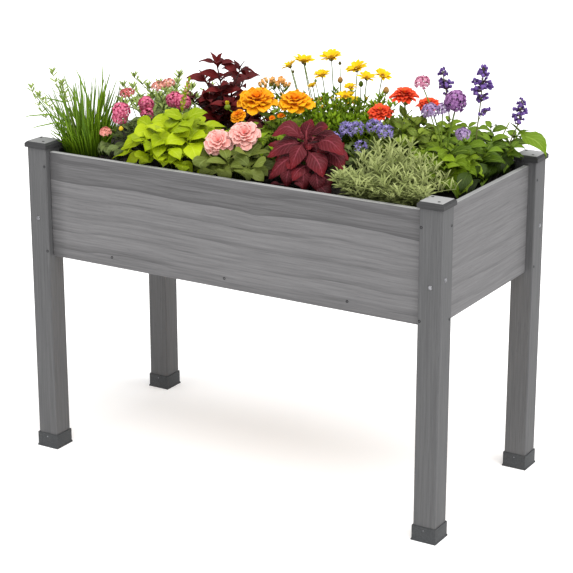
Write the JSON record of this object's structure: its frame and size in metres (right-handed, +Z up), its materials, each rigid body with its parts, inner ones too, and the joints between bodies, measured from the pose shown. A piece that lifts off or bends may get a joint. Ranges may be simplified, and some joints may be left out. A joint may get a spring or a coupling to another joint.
{
  "type": "planted raised bed",
  "caption": "Long grey wooden planter box on four tall capped legs, lined, filled with soil and planted full of mixed leaves and flowers.",
  "frame": {"origin": "on the ground, under the middle of the bed", "axes": "+X along the bed to the right, as seen from its front long side; +Y from the front to the back; +Z up"},
  "size_m": [1.322, 0.6076, 1.125],
  "materials": {
    "grey_stained_wood": "grey-stained softwood boards and posts with darker wavy grain, matt",
    "dark_rubber": "moulded dark grey rubber, matt",
    "bright_steel": "zinc-plated steel bolt heads",
    "plain_wood": "unstained softwood, hidden in use",
    "liner_fabric": "black non-woven planting liner",
    "soil": "dark crumbly potting soil",
    "green_leaf": "living mid-green leaf with a slight sheen",
    "dull_green_leaf": "living dull grey-green leaf",
    "lime_leaf": "living lime-green leaf, smooth",
    "burgundy_leaf": "living leaf, nearly black with a burgundy cast",
    "red_veined_leaf": "living magenta-burgundy leaf with darker veins",
    "silver_leaf": "living silver-green leaf with fine down",
    "pink_floret": "small pink florets",
    "pale_pink_petal": "thin ruffled pale pink petals",
    "orange_petal": "orange petals, yellower at the rim",
    "yellow_daisy": "yellow daisies on green stalks",
    "blue_violet_floret": "small blue-violet florets",
    "red_petal": "red petals in flat layers",
    "violet_floret": "violet florets in a globe"
  },
  "bodies": {
    "root": {"leg_front_left": "grey_stained_wood", "leg_back_left": "grey_stained_wood", "leg_front_right": "grey_stained_wood", "leg_back_right": "grey_stained_wood", "cap_front_left": "grey_stained_wood", "cap_back_left": "grey_stained_wood", "cap_front_right": "grey_stained_wood", "cap_back_right": "grey_stained_wood", "foot_front_left": "dark_rubber", "foot_back_left": "dark_rubber", "foot_front_right": "dark_rubber", "foot_back_right": "dark_rubber", "panel_left": "grey_stained_wood", "panel_right": "grey_stained_wood", "panel_front": "grey_stained_wood", "panel_back": "grey_stained_wood", "bolt_long_front_left": "bright_steel", "bolt_long_back_left": "bright_steel", "bolt_long_front_right": "bright_steel", "bolt_long_back_right": "bright_steel", "bolt_end_front_left": "bright_steel", "bolt_end_back_left": "bright_steel", "bolt_end_front_right": "bright_steel", "bolt_end_back_right": "bright_steel", "ledger_front": "plain_wood", "ledger_back": "plain_wood", "floor_board_left": "plain_wood", "floor_board_middle": "plain_wood", "floor_board_right": "plain_wood", "liner": "liner_fabric", "soil": "soil", "chives": "green_leaf", "pink_cluster_leaves": "dull_green_leaf", "wispy_sprigs": "dull_green_leaf", "lime_leaves": "lime_leaf", "dark_burgundy_leaves": "burgundy_leaf", "pale_pink_leaves": "dull_green_leaf", "marigold_leaves": "green_leaf", "peach_bud_stems": "green_leaf", "red_veined_leaves": "red_veined_leaf", "yellow_daisies": "yellow_daisy", "blue_clusters": "blue_violet_floret", "zinnia_leaves": "green_leaf", "silver_mound": "silver_leaf", "globe_leaves": "green_leaf", "salvia_left": "green_leaf", "salvia_middle": "green_leaf", "salvia_right": "green_leaf", "pink_cluster_front": "pink_floret", "pink_cluster_middle": "pink_floret", "pink_cluster_back": "pink_floret", "pale_pink_bloom_left": "pale_pink_petal", "pale_pink_bloom_right": "pale_pink_petal", "marigold_bloom_left": "orange_petal", "marigold_bloom_right": "orange_petal", "marigold_bloom_small": "orange_petal", "zinnia_bloom_left": "red_petal", "zinnia_bloom_middle": "red_petal", "zinnia_bloom_right": "red_petal", "violet_globe": "violet_floret"}
  },
  "joints": []
}
